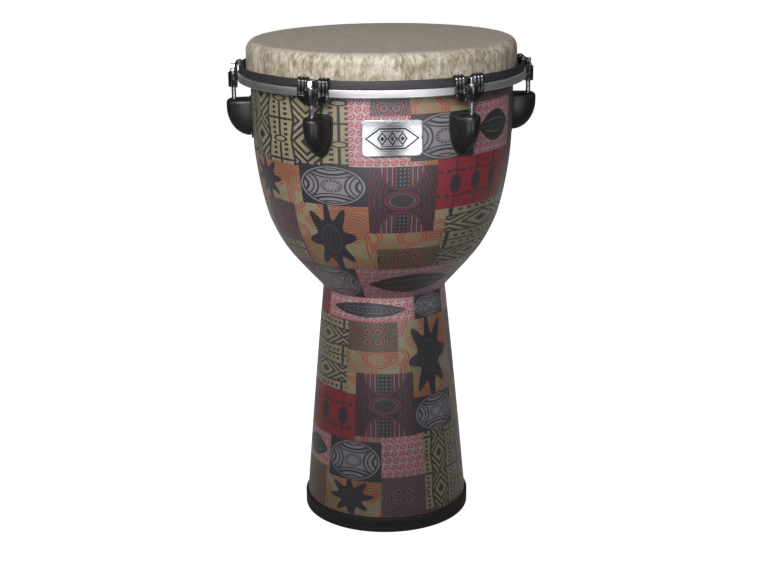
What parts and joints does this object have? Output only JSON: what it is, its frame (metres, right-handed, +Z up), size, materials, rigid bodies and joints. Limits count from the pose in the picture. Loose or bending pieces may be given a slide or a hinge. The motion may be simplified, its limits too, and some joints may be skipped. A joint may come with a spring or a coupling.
{
  "type": "djembe",
  "caption": "Key-tuned goblet hand drum with a synthetic head, steel rim, hook claws, lugs, badge plate, patterned shell and rubber foot ring.",
  "frame": {"origin": "centre of the flat face the drum stands on, on the drum's axis, at floor level", "axes": "+Z up the drum's axis towards the playing surface, -Y towards the badge plate on the front, +X to the right seen from the front"},
  "size_m": [0.4128, 0.3814, 0.66],
  "materials": {
    "shell_print_bowl": "satin printed laminate over a wood-fibre composite shell",
    "shell_print_stem": "satin printed laminate over a wood-fibre composite shell",
    "foot_rubber": "matt moulded rubber",
    "head_film": "satin mottled cream synthetic skin",
    "hoop_aluminium": "satin rolled channel",
    "badge_aluminium": "brushed plate",
    "rim_steel": "fine-textured black",
    "claw_black": "gloss black over a die casting",
    "lug_black": "satin black moulding",
    "gasket_black": "matt black",
    "rod_chrome": "polished chrome",
    "screw_zinc": "zinc plated",
    "nut_brass": "plain brass"
  },
  "bodies": {
    "shell": {"shell_bowl": "shell_print_bowl", "shell_stem": "shell_print_stem", "foot_ring": "foot_rubber", "badge_plate": "badge_aluminium", "drumhead_film": "head_film", "lug_casing_1": "lug_black", "lug_gasket_1": "gasket_black", "lug_nut_1": "nut_brass", "lug_screw_lower_1": "screw_zinc", "lug_screw_upper_1": "screw_zinc", "lug_casing_2": "lug_black", "lug_gasket_2": "gasket_black", "lug_nut_2": "nut_brass", "lug_screw_lower_2": "screw_zinc", "lug_screw_upper_2": "screw_zinc", "lug_casing_3": "lug_black", "lug_gasket_3": "gasket_black", "lug_nut_3": "nut_brass", "lug_screw_lower_3": "screw_zinc", "lug_screw_upper_3": "screw_zinc", "lug_casing_4": "lug_black", "lug_gasket_4": "gasket_black", "lug_nut_4": "nut_brass", "lug_screw_lower_4": "screw_zinc", "lug_screw_upper_4": "screw_zinc", "lug_casing_5": "lug_black", "lug_gasket_5": "gasket_black", "lug_nut_5": "nut_brass", "lug_screw_lower_5": "screw_zinc", "lug_screw_upper_5": "screw_zinc", "lug_casing_6": "lug_black", "lug_gasket_6": "gasket_black", "lug_nut_6": "nut_brass", "lug_screw_lower_6": "screw_zinc", "lug_screw_upper_6": "screw_zinc"},
    "rim": {"drumhead_hoop": "hoop_aluminium", "counterhoop": "rim_steel", "hook_claw_1": "claw_black", "hook_claw_2": "claw_black", "hook_claw_3": "claw_black", "hook_claw_4": "claw_black", "hook_claw_5": "claw_black", "hook_claw_6": "claw_black"},
    "rod_1": {"tension_rod_1": "rod_chrome", "rod_washer_1": "rod_chrome"},
    "rod_2": {"tension_rod_2": "rod_chrome", "rod_washer_2": "rod_chrome"},
    "rod_3": {"tension_rod_3": "rod_chrome", "rod_washer_3": "rod_chrome"},
    "rod_4": {"tension_rod_4": "rod_chrome", "rod_washer_4": "rod_chrome"},
    "rod_5": {"tension_rod_5": "rod_chrome", "rod_washer_5": "rod_chrome"},
    "rod_6": {"tension_rod_6": "rod_chrome", "rod_washer_6": "rod_chrome"}
  },
  "joints": [
    {"name": "head_tension", "type": "slide", "parent": "shell", "child": "rim", "axis": [0, 0, -1], "range_m": [-0.004, 0.002]},
    {"name": "rod_turn_1", "type": "hinge", "parent": "rim", "child": "rod_1", "pos_m": [-0.0981, -0.16991, 0.6], "axis": [0, 0, -1], "range_deg": [-1441, 721]},
    {"name": "rod_turn_2", "type": "hinge", "parent": "rim", "child": "rod_2", "pos_m": [0.0981, -0.16991, 0.6], "axis": [0, 0, -1], "range_deg": [-1441, 721]},
    {"name": "rod_turn_3", "type": "hinge", "parent": "rim", "child": "rod_3", "pos_m": [0.1962, 0, 0.6], "axis": [0, 0, -1], "range_deg": [-1441, 721]},
    {"name": "rod_turn_4", "type": "hinge", "parent": "rim", "child": "rod_4", "pos_m": [0.0981, 0.16991, 0.6], "axis": [0, 0, -1], "range_deg": [-1441, 721]},
    {"name": "rod_turn_5", "type": "hinge", "parent": "rim", "child": "rod_5", "pos_m": [-0.0981, 0.16991, 0.6], "axis": [0, 0, -1], "range_deg": [-1441, 721]},
    {"name": "rod_turn_6", "type": "hinge", "parent": "rim", "child": "rod_6", "pos_m": [-0.1962, 0, 0.6], "axis": [0, 0, -1], "range_deg": [-1441, 721]}
  ],
  "couplings": [
    {"joint": "rod_turn_1", "follows": "head_tension", "rad_per_m": 6283.2},
    {"joint": "rod_turn_2", "follows": "head_tension", "rad_per_m": 6283.2},
    {"joint": "rod_turn_3", "follows": "head_tension", "rad_per_m": 6283.2},
    {"joint": "rod_turn_4", "follows": "head_tension", "rad_per_m": 6283.2},
    {"joint": "rod_turn_5", "follows": "head_tension", "rad_per_m": 6283.2},
    {"joint": "rod_turn_6", "follows": "head_tension", "rad_per_m": 6283.2}
  ]
}
